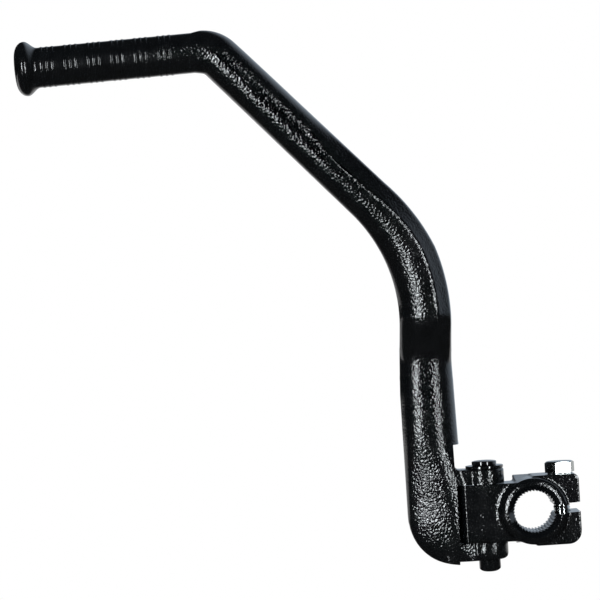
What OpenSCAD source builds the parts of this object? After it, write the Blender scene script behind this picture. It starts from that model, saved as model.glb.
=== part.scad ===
// Folding kick start lever, parked against its shaft boss.
// The origin is the centre of the serrated shaft bore. +Y runs along the bore, towards the
// engine, +Z along the pivot pin, and +X out over the clamp slot. Everything is in millimetres.

/* [Shaft boss] */
// Diameter over the tips of the serrations, where the shaft is gripped
bore_d = 18.2; // [17:0.1:19]
// Depth of each serration groove
groove_depth = 0.8; // [0.5:0.05:1]
// Number of serrations
groove_count = 40; // [30:1:44]
// Share of the pitch that a groove takes at the bore
groove_share = 0.5; // [0.35:0.05:0.6]
// Outer diameter of the ring round the bore
ring_d = 30.2; // [29:0.2:33]
// Length of the ring along the shaft
ring_l = 26; // [24:0.5:30]
// Lead-in chamfer at each mouth of the bore
mouth_chamfer = 2.2; // [1:0.1:2.4]
// Outer chamfer at each end of the ring
rim_chamfer = 2.4; // [1:0.1:2.6]
// Concave fillet between the ring and the neck
neck_fillet = 4.2; // [2:0.1:5]
// Radius of the hinge tongue about the pivot pin
tongue_r = 13.1; // [12.6:0.1:13.1]
// Height of the hinge tongue
tongue_h = 26.4; // [24:0.2:28]
// Thickness of the neck between tongue and ring
neck_t = 17; // [15:0.2:18]

/* [Clamp] */
// Reach of the clamp lugs from the bore centre
lug_reach = 20.8; // [20.4:0.1:22]
// Height over both clamp lugs
lug_h = 31.8; // [31.2:0.2:34]
// Thickness of the clamp lugs along the shaft
lug_t = 20; // [18:0.5:22]
// How far the lugs lie behind the middle of the ring
lug_set_back = 1; // [0:0.5:2]
// Corner radius of the upper lug
upper_corner_r = 2.6; // [1.5:0.1:3]
// Corner radius of the lower lug
lower_corner_r = 6; // [4:0.2:6.6]
// Width of the clamp slot
slot_w = 4.3; // [3:0.1:5]
// Tilt of the clamp slot about the bore
slot_tilt = 2; // [0:0.5:3]
// Reach of the drafted heel towards the pivot pin
heel_reach = 7.9; // [6:0.1:9]
// Draft of the forged heel
heel_draft = 6.5; // [4:0.5:8]
// How far the heel's top lies below the top of the lugs
heel_sunk = 0.2; // [0:0.1:0.6]

/* [Pinch bolt] */
// Thread diameter of the pinch bolt
bolt_d = 8; // [7.6:0.1:8.2]
// Gap between the bolt's thread and a shaft in the bore
bolt_shaft_gap = 0.12; // [0.1:0.02:0.3]
// Radial clearance of the bolt in the upper lug
bolt_clearance = 0.2; // [0.1:0.05:0.4]
// Size of the hex head across its flats
hex_af = 12; // [11.6:0.1:13]
// Height of the hex head
hex_h = 5.4; // [5:0.1:6]
// Depth of the chamfer on the corners of the hex head
hex_crown = 0.8; // [0.4:0.1:1.2]
// Turn of the hex head about its axis
hex_turn = 15; // [0:1:59]
// Depth of the end chamfer on the bolt
bolt_tip = 1; // [0.5:0.1:1.5]
// How far the bolt's end stays inside the lower lug
bolt_sunk = 0.5; // [0:0.5:2]

/* [Pivot] */
// Distance from the bore centre to the pivot pin
pivot_reach = 21; // [20.6:0.2:24]
// Diameter of the pivot pin
pin_d = 9.8; // [9:0.1:10]
// Radial running clearance of the pin in the tongue
pin_running = 0.05; // [0.02:0.01:0.09]
// Radial clearance of the pin where it is fixed in the ears
pin_fixed = 0.01; // [0.01:0.01:0.03]
// Diameter of the pin's head
pin_head_d = 11.2; // [10.8:0.1:12]
// Height of the cylindrical part of the pin's head
pin_head_h = 1.7; // [1.2:0.1:2.5]
// Rise of the dome on the pin's head
pin_dome = 0.7; // [0.3:0.1:1]
// Length of the pin that stands out under the lower ear
pin_proud = 5.6; // [4:0.1:7]
// Rounding of the pin's lower end, across the pin
pin_end_r = 3.4; // [2:0.1:4]
// Rounding of the pin's lower end, along the pin
pin_end_rise = 2; // [1:0.1:3]
// Outer diameter of the washer under the head
washer_d = 17.2; // [15:0.1:17.4]
// Thickness of the washer
washer_t = 1.3; // [1:0.1:2]
// Radial clearance of the washer on the pin
washer_clearance = 0.15; // [0.1:0.05:0.3]

/* [Fork] */
// Radius of the two ears about the pivot pin
ear_r = 8.8; // [8.7:0.1:9.2]
// Thickness of the upper ear
upper_ear_t = 6.9; // [6:0.1:8]
// Thickness of the lower ear
lower_ear_t = 7.9; // [7:0.1:9]
// Gap between each ear and the tongue
ear_gap = 0.1; // [0.05:0.05:0.3]
// Distance from the pivot pin to the floor of the fork
floor_reach = 13.4; // [13.2:0.1:14]
// Distance from the pivot pin to the wall of the milled reliefs
relief_reach = 13.8; // [13.6:0.1:15]
// Height of the upper relief
relief_h = 12.4; // [10:0.2:14]
// Radius in the corner of the upper relief
relief_corner = 2.4; // [1:0.1:3]
// Thickness of the webs behind the ears
web_t = 13; // [12:0.2:15]
// Rounding of the lower ear's edge
ear_edge = 2.4; // [1:0.1:3]

/* [Detent] */
// Diameter of the detent ball
ball_d = 7; // [6.5:0.1:7.4]
// Gap between the ball and the tongue that it runs on
ball_clearance = 0.05; // [0.03:0.01:0.15]
// Depth of the dimple that the ball drops into when parked
dimple_depth = 0.35; // [0.2:0.05:0.5]
// Radial clearance of the ball in its pocket
pocket_clearance = 0.1; // [0.05:0.05:0.2]
// Length of the spring between the ball and the pocket's end
spring_l = 8.5; // [7:0.5:9]
// Outer diameter of the spring
spring_d = 6.4; // [6:0.1:6.8]
// Diameter of the spring wire
spring_wire = 0.9; // [0.7:0.05:1]
// Number of spring turns
spring_turns = 6; // [5:1:7]

/* [Arm] */
// Height of the bend's corner point above the bore
bend_z = 120.2; // [110:1:130]
// Distance of the bend's corner point from the bore, towards the pedal
bend_x = 42; // [40:0.5:44]
// Radius of the bend along the middle of the arm
bend_r = 83; // [60:1:90]
// Height of the elbow's corner point above the bore
elbow_z = 216.3; // [200:1:225]
// Distance of the elbow's corner point from the bore
elbow_x = 132.9; // [120:1:140]
// Radius of the elbow along the middle of the arm
elbow_r = 10.8; // [10.4:0.2:14]
// Distance of the lower arm's middle line from the bore, at the bore's height
foot_x = 46; // [45.6:0.1:47]
// Half width of the arm at the elbow
elbow_half = 9.8; // [9.4:0.1:10.2]
// Width of the diagonal on its lower side, where it meets the bend
diagonal_inner = 10.8; // [10:0.1:11.4]
// Width of the diagonal on its upper side
diagonal_outer = 10; // [9.6:0.1:10.6]
// Width of the outer side halfway round the bend
bend_outer = 11.8; // [11:0.1:12.6]
// Width of the inner side where the bend ends
lower_inner = 12.8; // [12:0.1:13.4]
// Width of the outer side at the waist below the bend
waist_outer = 10.9; // [10.4:0.1:11.6]
// Width of the inner side at the calf
calf_inner = 13.2; // [12.6:0.1:13.8]
// Width of the outer side at the shoulder above the fork
shoulder_outer = 13; // [12.6:0.1:13.6]
// Width of the inner side where the heel begins
heel_inner = 11.3; // [10.8:0.1:12]
// Width of the outer side where the heel begins, which feeds the ears
heel_outer = 24; // [20:0.5:25]
// Depth of the arm in front of its middle plane
front_depth = 8.9; // [8.6:0.1:9]
// Depth of the arm behind its middle plane
back_depth = 8.2; // [7.6:0.1:8.6]
// How far the upper arm stands outwards from the lower arm
arm_offset = 8; // [0:0.5:12]
// Height at which the outward step begins
step_low_z = 66; // [60:1:70]
// Height at which the outward step ends
step_high_z = 92; // [86:1:100]
// Height at which the rounding of the heel of the arm begins
heel_z = 2.5; // [0:0.5:6]
// Lowest point of the arm
arm_low_z = -22.6; // [-24:0.1:-22]
// Width that the rounding of the heel takes off
heel_round = 23.5; // [20:0.5:24]
// How much thinner the arm is at the end of its heel, as a share
heel_thinning = 0.35; // [0.1:0.05:0.4]
// Place of the ridge on the diagonal, as a share of the half width
ridge_start_u = 0.15; // [0.1:0.05:0.4]
// Place of the ridge on the bend, as a share of the half width
ridge_end_u = 0.5; // [0.4:0.05:0.7]
// Depth of the outer flank beside the ridge, as a share of the arm's depth
ridge_side_v = 0.35; // [0.2:0.05:0.6]
// Share of the ridge that is left below the outward step
ridge_fade = 0.25; // [0:0.05:0.5]

/* [Pedal] */
// Length from the elbow's corner point to the end of the pedal
pedal_l = 89; // [84:0.2:92]
// Rise of the pedal towards the elbow, in degrees
pedal_rise = 2; // [0:0.5:4]
// Diameter of the grip
grip_d = 18.1; // [17.2:0.1:18.6]
// Diameter of the end flange
flange_d = 24.6; // [22:0.2:26]
// Diameter of the flat on the end of the pedal
flange_face_d = 12.6; // [10:0.2:15]
// Distance from the end of the pedal to the flange's rim
flange_rim = 4.5; // [3.6:0.1:5.4]
// Distance from the end of the pedal to the foot of the flange
flange_foot = 10.4; // [9:0.1:10.6]
// Number of rib groups on the grip
rib_groups = 6; // [3:1:6]
// Number of ribs in each group
group_ribs = 3; // [2:1:3]
// Distance between two groups
group_pitch = 10.6; // [10.4:0.1:11]
// Distance between two ribs of a group
rib_pitch = 2.5; // [2.2:0.1:3]
// Height of a rib
rib_h = 0.25; // [0.15:0.05:0.5]
// Width of a rib
rib_w = 1.7; // [1.2:0.1:2]
// Distance from the end of the pedal to the middle of the first group
first_group = 14.8; // [14.6:0.1:16]

/* [Hidden] */
round_fn = 96;
through = 1;
black = "#17191b";
zinc = "#c9cccb";
steel = "#8c8f92";
ear_low_z = -tongue_h / 2 - ear_gap - lower_ear_t;
ear_top_z = tongue_h / 2 + ear_gap + upper_ear_t;
ring_front = -ring_l / 2;
lug_front = lug_set_back - lug_t / 2;
bolt_x = bore_d / 2 + bolt_shaft_gap + bolt_d / 2;
bolt_seat_z = lug_h / 2;
ball_reach = tongue_r + ball_clearance + ball_d / 2;
spring_start = ball_reach + ball_d / 2;
section_points = 32;
round_exponent = 2;
section_exponent = 2.9;
side_draft = 0.1;
heel_exponent = 2.15;
toe_spread = 3;
web_root = 6;
heel_root = 1;
waist_run = 16;
calf_run = 30;
flank_ease = 0.15;
elbow_fade = 0.2;
ridge_from = 0.45;
ridge_until = 0.85;
rib_crest = 0.2;
elbow_rings = 8;
diagonal_rings = 10;
bend_rings = 14;
lower_rings = 10;
shoulder_rings = 5;
heel_rings = 9;
drill_half_angle = 59;
groove_overlap = 0.4;

// The arm's middle line: pedal side, elbow, diagonal, bend and lower arm.
diagonal_fall = atan2(elbow_z - bend_z, elbow_x - bend_x);
elbow_turn = pedal_rise + diagonal_fall;
lower_lean = atan2(foot_x - bend_x, bend_z);
bend_turn = 90 + lower_lean - diagonal_fall;
elbow_tangent = elbow_r * tan(elbow_turn / 2);
bend_tangent = bend_r * tan(bend_turn / 2);
elbow_arc = elbow_r * elbow_turn * PI / 180;
bend_arc = bend_r * bend_turn * PI / 180;
diagonal_l = norm([elbow_x - bend_x, elbow_z - bend_z]) - elbow_tangent - bend_tangent;
lead_in = 5;
s_diagonal = elbow_arc;
s_bend = s_diagonal + diagonal_l;
s_lower = s_bend + bend_arc;
function s_at(z) = s_lower + (bend_z - z) / cos(lower_lean) - bend_tangent;
s_shoulder = s_at(ear_top_z + relief_h);
s_heel = s_at(heel_z);
heel_drop = (heel_z - arm_low_z) / cos(lower_lean);

function heading(angle) = [cos(angle), sin(angle)];
function outward(angle) = [-sin(angle), cos(angle)];
elbow_start = [-elbow_x, elbow_z] - elbow_tangent * heading(pedal_rise);
diagonal_start = [-elbow_x, elbow_z] + elbow_tangent * heading(-diagonal_fall);
bend_start = [-bend_x, bend_z] - bend_tangent * heading(-diagonal_fall);
lower_start = [-bend_x, bend_z] + bend_tangent * heading(-90 - lower_lean);

// Point of the middle line and its heading at distance s from the start of the elbow.
function line_angle(s) =
    s < 0 ? pedal_rise :
    s < s_diagonal ? pedal_rise - elbow_turn * s / elbow_arc :
    s < s_bend ? -diagonal_fall :
    s < s_lower ? -diagonal_fall - bend_turn * (s - s_bend) / bend_arc :
    -90 - lower_lean;
function line_point(s) =
    s < 0 ? elbow_start + s * heading(pedal_rise) :
    s < s_diagonal ?
        elbow_start - elbow_r * outward(pedal_rise) + elbow_r * outward(line_angle(s)) :
    s < s_bend ? diagonal_start + (s - s_diagonal) * heading(-diagonal_fall) :
    s < s_lower ?
        bend_start - bend_r * outward(-diagonal_fall) + bend_r * outward(line_angle(s)) :
    lower_start + (s - s_lower) * heading(-90 - lower_lean);

// Smooth step from 0 to 1 between two values.
function ease(v, low, high) =
    let (t = max(0, min(1, (v - low) / (high - low)))) t * t * (3 - 2 * t);

// Widths, depths and squareness along the arm, named at its own stations.
function inner_half(s) = lookup(s, [
    [-lead_in, grip_d / 2 - flank_ease], [0, elbow_half], [s_diagonal, elbow_half],
    [s_bend, diagonal_inner], [s_lower, lower_inner], [s_lower + calf_run, calf_inner],
    [s_heel, heel_inner]]);
function outer_half(s) = lookup(s, [
    [-lead_in, grip_d / 2 - flank_ease], [0, elbow_half],
    [s_diagonal + elbow_fade * diagonal_l, diagonal_outer],
    [s_bend, diagonal_outer], [s_bend + bend_arc / 2, bend_outer], [s_lower, waist_outer],
    [s_lower + waist_run, waist_outer], [s_shoulder, shoulder_outer], [s_heel, heel_outer]]);
function front(s) = lookup(s, [
    [-lead_in, grip_d / 2 - flank_ease], [s_diagonal, elbow_half], [s_lower, front_depth]]);
function back(s) = lookup(s, [
    [-lead_in, grip_d / 2 - flank_ease], [s_diagonal, elbow_half], [s_lower, back_depth]]);
function squareness(s) = ease(s, s_diagonal, s_diagonal + diagonal_l / 3);

// The forged ridge: how strong it is, and where it stands across the arm.
function ridge_strength(s, z) =
    ease(s, s_diagonal + ridge_from * diagonal_l, s_diagonal + ridge_until * diagonal_l)
    * (ridge_fade + (1 - ridge_fade) * ease(z, step_low_z, step_high_z));
function ridge_place(s) =
    ridge_start_u + (ridge_end_u - ridge_start_u) * ease(s, s_bend - bend_arc / 3, s_bend + bend_arc / 2);

// Point on a quarter outline with a slanted corner, at share t of its length.
function corner_point(t, u, v) =
    let (slant = norm([1 - u, 1 - v]), run = t * (v + slant + u))
    run < v ? [1, run] :
    run < v + slant ? [1, v] + [u - 1, 1 - v] * (run - v) / slant :
    [u - (run - v - slant), 1];

// One ring of points round the arm. The heel's rounding moves the inner side only.
function power(v, e) = sign(v) * pow(abs(v), e);
function ring_points(s, heel_angle) =
    let (
        place = line_point(s),
        side = outward(line_angle(s)),
        toe = 1 - power(cos(heel_angle), 2 / heel_exponent),
        outer = outer_half(s) + toe_spread * toe,
        inner = heel_round * toe - inner_half(s),
        middle = (outer + inner) / 2,
        half = (outer - inner) / 2,
        thin = 1 - heel_thinning * (1 - cos(heel_angle)),
        square = squareness(s),
        e = 2 / (round_exponent + (section_exponent - round_exponent) * square),
        strength = ridge_strength(s, place[1]),
        step_y = -arm_offset * ease(place[1], step_low_z, step_high_z)
    )
    [for (i = [0 : section_points - 1])
        let (
            a = 360 * i / section_points,
            plain = [power(cos(a), e), power(sin(a), e)],
            on_ridge = a > 270 && strength > 0,
            corner = on_ridge ? corner_point((360 - a) / 90, ridge_place(s), ridge_side_v) : plain,
            flat = on_ridge ? plain[0] + (corner[0] - plain[0]) * strength : plain[0],
            deep = on_ridge ? plain[1] - (corner[1] + plain[1]) * strength : plain[1],
            wide = middle + half * flat * (1 - side_draft * square * abs(deep)),
            y = deep < 0 ? deep * front(s) * thin : deep * back(s) * thin
        )
        [place[0] + wide * side[0], y + step_y, place[1] + wide * side[1]]];

function steps(from, to, count) = [for (i = [0 : count - 1]) from + (to - from) * i / count];
arm_stations = concat(
    [-lead_in], steps(0, s_diagonal, elbow_rings), steps(s_diagonal, s_bend, diagonal_rings),
    steps(s_bend, s_lower, bend_rings), steps(s_lower, s_shoulder, lower_rings),
    steps(s_shoulder, s_heel, shoulder_rings));
heel_angles = [for (i = [0 : heel_rings]) 90 * i / heel_rings];
arm_rings = concat(
    [for (s = arm_stations) ring_points(s, 0)],
    [for (a = heel_angles) ring_points(s_heel + heel_drop * power(sin(a), 2 / heel_exponent), a)]);

module loft(rings) {
    n = len(rings[0]);
    last = len(rings) - 1;
    polyhedron(
        points = [for (ring = rings) each ring],
        faces = concat(
            [[for (i = [n - 1 : -1 : 0]) i]],
            [for (k = [0 : last - 1], i = [0 : n - 1])
                let (j = (i + 1) % n)
                each [[k * n + i, (k + 1) * n + j, (k + 1) * n + i],
                      [k * n + i, k * n + j, (k + 1) * n + j]]],
            [[for (i = [0 : n - 1]) last * n + i]]),
        convexity = 6);
}

module pivot_cylinder(r, low, high) {
    translate([-pivot_reach, 0, low])
        cylinder(h = high - low, r = r, $fn = round_fn);
}

// Outline of the pedal, as radius against distance from its end.
flange_arc = [for (i = [0 : 4])
    let (a = 90 * i / 4)
    [flange_face_d / 2 + (flange_d - flange_face_d) / 2 * sin(a), flange_rim * (1 - cos(a))]];
flange_back = [for (i = [1 : 8])
    let (share = i / 8)
    [grip_d / 2 + (flange_d - grip_d) / 4 * (1 + cos(180 * share)),
     flange_rim + (flange_foot - flange_rim) * share]];
function rib(middle) = [
    [grip_d / 2, middle - rib_w / 2], [grip_d / 2 + rib_h, middle - rib_crest * rib_w],
    [grip_d / 2 + rib_h, middle + rib_crest * rib_w], [grip_d / 2, middle + rib_w / 2]];
grip_ribs = [for (g = [0 : rib_groups - 1], r = [0 : group_ribs - 1])
    each rib(first_group + g * group_pitch + (r - (group_ribs - 1) / 2) * rib_pitch)];

module pedal() {
    end_length = pedal_l - elbow_tangent;
    end_place = elbow_start - end_length * heading(pedal_rise);
    translate([end_place[0], -arm_offset, end_place[1]])
        rotate([0, 90 - pedal_rise, 0])
            rotate_extrude($fn = round_fn)
                polygon(concat(
                    [[0, 0]], flange_arc, flange_back, grip_ribs,
                    [[grip_d / 2, end_length], [0, end_length]]));
}

// Both ears in one, with the lower edge rounded, and the web that joins them to the arm.
module fork_block() {
    reach = floor_reach + web_root;
    edge = [for (i = [0 : 5])
        let (a = 90 * i / 5)
        [ear_r - ear_edge * (1 - sin(a)), ear_low_z + ear_edge * (1 - cos(a))]];
    translate([-pivot_reach, 0, 0])
        rotate_extrude($fn = round_fn)
            polygon(concat([[0, ear_low_z]], edge, [[ear_r, ear_top_z], [0, ear_top_z]]));
    translate([-pivot_reach - reach, -web_t / 2, ear_low_z])
        cube([reach, web_t, ear_top_z - ear_low_z]);
}

// Milled steps above and below the ears. The upper one has the cutter's corner radius.
module reliefs() {
    low = arm_low_z - through;
    span = 2 * relief_reach;
    translate([-pivot_reach - relief_reach, ring_l, 0])
        rotate([90, 0, 0])
            linear_extrude(height = 2 * ring_l) {
                translate([relief_corner, ear_top_z]) square([span, relief_h]);
                translate([0, ear_top_z + relief_corner]) square([span, relief_h - relief_corner]);
                translate([relief_corner, ear_top_z + relief_corner])
                    circle(r = relief_corner, $fn = round_fn);
                translate([0, low]) square([span, ear_low_z - low]);
            }
}

// Blind hole for ball and spring, with the cone that the drill leaves.
module ball_pocket() {
    pocket_r = ball_d / 2 + pocket_clearance;
    depth = spring_start + spring_l;
    translate([-pivot_reach, 0, 0])
        rotate([0, -90, 0]) {
            cylinder(h = depth, r = pocket_r, $fn = round_fn);
            translate([0, 0, depth])
                cylinder(h = pocket_r / tan(drill_half_angle), r1 = pocket_r, r2 = 0, $fn = round_fn);
        }
}

module kick_lever() {
    color(black)
    difference() {
        union() {
            loft(arm_rings);
            pedal();
            fork_block();
        }
        translate([-pivot_reach - floor_reach, -ring_l, -tongue_h / 2 - ear_gap])
            cube([2 * floor_reach, 2 * ring_l, tongue_h + 2 * ear_gap]);
        reliefs();
        pivot_cylinder(pin_d / 2 + pin_fixed, ear_low_z - through, ear_top_z + through);
        ball_pocket();
    }
}

// Turns a shape drawn about Z so that its axis lies along the shaft.
module along_shaft() {
    rotate([90, 0, 0]) children();
}

module ring_blank() {
    along_shaft()
        rotate_extrude($fn = round_fn)
            polygon([
                [0, -ring_l / 2], [ring_d / 2 - rim_chamfer, -ring_l / 2],
                [ring_d / 2, -ring_l / 2 + rim_chamfer], [ring_d / 2, ring_l / 2 - rim_chamfer],
                [ring_d / 2 - rim_chamfer, ring_l / 2], [0, ring_l / 2]]);
}

// Concave fillet round the ring, kept only on the side of the neck.
module neck_blend() {
    inner = ring_d / 2 - rim_chamfer / 2;
    outer = ring_d / 2 + neck_fillet;
    rise = ring_l / 2 - rim_chamfer - neck_t / 2;
    curve = [for (i = [0 : 6])
        let (a = 90 * i / 6)
        [outer - neck_fillet * sin(a), neck_t / 2 + rise * (1 - cos(a))]];
    mirrored = [for (i = [6 : -1 : 0]) [curve[i][0], -curve[i][1]]];
    intersection() {
        along_shaft()
            rotate_extrude($fn = round_fn)
                polygon(concat([[inner, -curve[6][1]]], mirrored, curve, [[inner, curve[6][1]]]));
        translate([-pivot_reach, -ring_l, -tongue_h / 2])
            cube([pivot_reach, 2 * ring_l, tongue_h]);
    }
}

// Outline of both lugs in the plane across the shaft.
module lug_outline() {
    half = lug_h / 2;
    translate([0, lower_corner_r - half])
        square([lug_reach, lug_h - lower_corner_r - upper_corner_r]);
    translate([0, -half])
        square([lug_reach - lower_corner_r, lug_h]);
    translate([0, half - 2 * upper_corner_r])
        square([lug_reach - upper_corner_r, 2 * upper_corner_r]);
    translate([lug_reach - lower_corner_r, lower_corner_r - half])
        circle(r = lower_corner_r, $fn = round_fn);
    translate([lug_reach - upper_corner_r, half - upper_corner_r])
        circle(r = upper_corner_r, $fn = round_fn);
}

module lugs() {
    translate([0, lug_front + lug_t, 0])
        rotate([90, 0, 0])
            linear_extrude(height = lug_t) lug_outline();
}

// Forged heel behind the ring. Its top and bottom fall towards the front by the draft.
module heel() {
    fall = lug_t * tan(heel_draft);
    half = lug_h / 2 - heel_sunk;
    translate([-heel_reach, 0, 0])
        rotate([90, 0, 90])
            linear_extrude(height = heel_reach + heel_root)
                polygon([
                    [lug_front, -half + fall], [lug_front + lug_t, -half],
                    [lug_front + lug_t, half], [lug_front, half - fall]]);
}

// The tongue is round in front, so that the lever swings out, and square behind, where the
// floor of the fork stops against it.
module tongue_and_neck() {
    intersection() {
        pivot_cylinder(tongue_r, -tongue_h / 2, tongue_h / 2);
        translate([-2 * pivot_reach, -neck_t / 2, -tongue_h])
            cube([2 * pivot_reach, neck_t, 2 * tongue_h]);
    }
    translate([-pivot_reach - tongue_r, 0, -tongue_h / 2])
        cube([tongue_r, neck_t / 2, tongue_h]);
    translate([-pivot_reach, -neck_t / 2, -tongue_h / 2])
        cube([pivot_reach, neck_t, tongue_h]);
}

module bore_cut() {
    groove_half = groove_share * 180 / groove_count;
    foot = bore_d / 2 - groove_overlap;
    along_shaft() {
        cylinder(h = ring_l + 2 * through, d = bore_d, center = true, $fn = round_fn);
        for (i = [0 : groove_count - 1])
            rotate([0, 0, (i + 0.5) * 360 / groove_count])
                linear_extrude(height = ring_l + 2 * through, center = true)
                    polygon([
                        [foot, -foot * tan(groove_half)],
                        [bore_d / 2 + groove_depth, 0],
                        [foot, foot * tan(groove_half)]]);
        for (side = [0, 180])
            rotate([side, 0, 0])
                translate([0, 0, ring_l / 2 - mouth_chamfer - groove_depth])
                    cylinder(
                        h = mouth_chamfer + groove_depth + through,
                        r1 = bore_d / 2,
                        r2 = bore_d / 2 + mouth_chamfer + groove_depth + through,
                        $fn = round_fn);
    }
}

module bolt_hole() {
    translate([bolt_x, lug_set_back, 0])
        cylinder(h = lug_h, r = bolt_d / 2 + bolt_clearance, $fn = round_fn);
    translate([bolt_x, lug_set_back, -lug_h])
        cylinder(h = lug_h + through, d = bolt_d, $fn = round_fn);
}

// Dimple in the back of the tongue, which holds the ball while the lever is parked.
module parking_dimple() {
    translate([-pivot_reach - tongue_r + dimple_depth - ball_d / 2, 0, 0])
        sphere(d = ball_d, $fn = round_fn);
}

module shaft_boss() {
    color(black)
    difference() {
        union() {
            ring_blank();
            neck_blend();
            lugs();
            heel();
            tongue_and_neck();
        }
        bore_cut();
        rotate([0, -slot_tilt, 0])
            translate([0, -ring_l, -slot_w / 2])
                cube([2 * lug_reach, 2 * ring_l, slot_w]);
        bolt_hole();
        pivot_cylinder(pin_d / 2 + pin_running, -tongue_h, tongue_h);
        parking_dimple();
    }
}

module pivot_pin() {
    low = ear_low_z - pin_proud;
    seat = ear_top_z + washer_t;
    end_curve = [for (i = [0 : 6])
        let (a = 90 * i / 6)
        [pin_d / 2 - pin_end_r * (1 - sin(a)), low + pin_end_rise * (1 - cos(a))]];
    dome_curve = [for (i = [0 : 5])
        let (a = 90 * i / 5)
        [pin_head_d / 2 * cos(a), seat + pin_head_h + pin_dome * sin(a)]];
    color(black)
    translate([-pivot_reach, 0, 0])
        rotate_extrude($fn = round_fn)
            polygon(concat(
                [[0, low]], end_curve,
                [[pin_d / 2, seat], [pin_head_d / 2, seat]], dome_curve));
}

module pivot_washer() {
    color(black)
    difference() {
        pivot_cylinder(washer_d / 2, ear_top_z, ear_top_z + washer_t);
        pivot_cylinder(
            pin_d / 2 + washer_clearance, ear_top_z - through, ear_top_z + washer_t + through);
    }
}

module pinch_bolt() {
    low = -lug_h / 2 + bolt_sunk;
    corner_r = hex_af / 2 / cos(30);
    color(zinc)
    translate([bolt_x, lug_set_back, 0]) {
        translate([0, 0, low + bolt_tip])
            cylinder(h = bolt_seat_z - low - bolt_tip, d = bolt_d, $fn = round_fn);
        translate([0, 0, low])
            cylinder(h = bolt_tip, d1 = bolt_d - 2 * bolt_tip, d2 = bolt_d, $fn = round_fn);
        translate([0, 0, bolt_seat_z])
            intersection() {
                rotate([0, 0, hex_turn])
                    cylinder(h = hex_h, r = corner_r, $fn = 6);
                cylinder(
                    h = hex_h, r1 = corner_r + hex_h - hex_crown, r2 = corner_r - hex_crown,
                    $fn = round_fn);
            }
    }
}

module detent_ball() {
    color(steel)
    translate([-pivot_reach - ball_reach, 0, 0])
        sphere(d = ball_d, $fn = round_fn);
}

// Helical wire swept as one closed tube.
module detent_spring() {
    wire_sides = 8;
    turn_steps = 18;
    coil_r = spring_d / 2 - spring_wire / 2;
    free = spring_l - spring_wire;
    count = spring_turns * turn_steps;
    wire_rings = [for (k = [0 : count])
        let (
            a = 360 * k / turn_steps,
            x = -pivot_reach - spring_start - spring_wire / 2 - free * k / count
        )
        [for (i = [0 : wire_sides - 1])
            let (b = 360 * i / wire_sides, r = coil_r + spring_wire / 2 * cos(b))
            [x + spring_wire / 2 * sin(b), r * cos(a), r * sin(a)]]];
    color(steel) loft(wire_rings);
}

kick_lever();
shaft_boss();
pivot_pin();
pivot_washer();
pinch_bolt();
detent_ball();
detent_spring();
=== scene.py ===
import bmesh
import bpy
import math
from mathutils import Matrix, Vector, noise


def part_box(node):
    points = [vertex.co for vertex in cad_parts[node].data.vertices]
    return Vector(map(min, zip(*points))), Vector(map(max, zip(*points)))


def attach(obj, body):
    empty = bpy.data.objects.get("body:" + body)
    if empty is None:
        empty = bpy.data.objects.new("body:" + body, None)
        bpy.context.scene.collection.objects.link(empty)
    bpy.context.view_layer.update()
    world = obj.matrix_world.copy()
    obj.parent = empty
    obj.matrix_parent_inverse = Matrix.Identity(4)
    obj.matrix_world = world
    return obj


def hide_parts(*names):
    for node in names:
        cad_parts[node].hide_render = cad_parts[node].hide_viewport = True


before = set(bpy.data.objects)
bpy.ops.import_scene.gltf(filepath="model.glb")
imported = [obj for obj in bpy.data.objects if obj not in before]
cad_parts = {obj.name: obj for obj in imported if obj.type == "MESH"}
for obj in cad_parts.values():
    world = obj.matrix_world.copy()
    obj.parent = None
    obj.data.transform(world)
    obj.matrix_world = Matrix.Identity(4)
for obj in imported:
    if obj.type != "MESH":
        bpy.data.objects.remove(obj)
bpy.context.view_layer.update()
scene = bpy.context.scene
mm = 0.001
weldDistance = 1e-7  # metres
print("frame loaded")


# Meshes. Lengths are in millimetres up to the studio, and meshes come out in metres.

def newObject(name, points, faces):
    mesh = bpy.data.meshes.new(name)
    mesh.from_pydata([Vector(p) * mm for p in points], [], faces)
    obj = bpy.data.objects.new(name, mesh)
    scene.collection.objects.link(obj)
    return obj


def outwardFaces(obj):
    work = bmesh.new()
    work.from_mesh(obj.data)
    bmesh.ops.remove_doubles(work, verts=work.verts, dist=weldDistance)
    bmesh.ops.recalc_face_normals(work, faces=work.faces)
    work.to_mesh(obj.data)
    work.free()
    return obj


def loft(name, rings):
    count = len(rings[0])
    points = [p for ring in rings for p in ring]
    faces = [list(range(count))]
    for k in range(len(rings) - 1):
        for i in range(count):
            j = (i + 1) % count
            faces.append([k * count + i, k * count + j, (k + 1) * count + j, (k + 1) * count + i])
    last = (len(rings) - 1) * count
    faces.append([last + i for i in reversed(range(count))])
    return outwardFaces(newObject(name, points, faces))


# outline runs from the axis back to the axis, as (radius, height)
def revolve(name, outline, place=(0, 0, 0), axis="Z", steps=128):
    turn = {"Z": Matrix.Identity(3), "Y": Matrix.Rotation(math.radians(-90), 3, "X")}[axis]
    points, faces, ringStart = [], [], []
    for radius, height in outline:
        ringStart.append(len(points))
        turns = 1 if radius == 0 else steps
        for i in range(turns):
            a = 2 * math.pi * i / steps
            spot = Vector((radius * math.cos(a), radius * math.sin(a), height))
            points.append(turn @ spot + Vector(place))
    for k in range(len(outline) - 1):
        first, second = outline[k][0], outline[k + 1][0]
        for i in range(steps):
            j = (i + 1) % steps
            a, b = ringStart[k], ringStart[k + 1]
            if first == 0:
                faces.append([a, b + j, b + i])
            elif second == 0:
                faces.append([a + i, a + j, b])
            else:
                faces.append([a + i, a + j, b + j, b + i])
    return outwardFaces(newObject(name, points, faces))


def cylinder(name, radius, low, high, place=(0, 0, 0), steps=128):
    return revolve(name, [(0, low), (radius, low), (radius, high), (0, high)], place, steps=steps)


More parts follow.
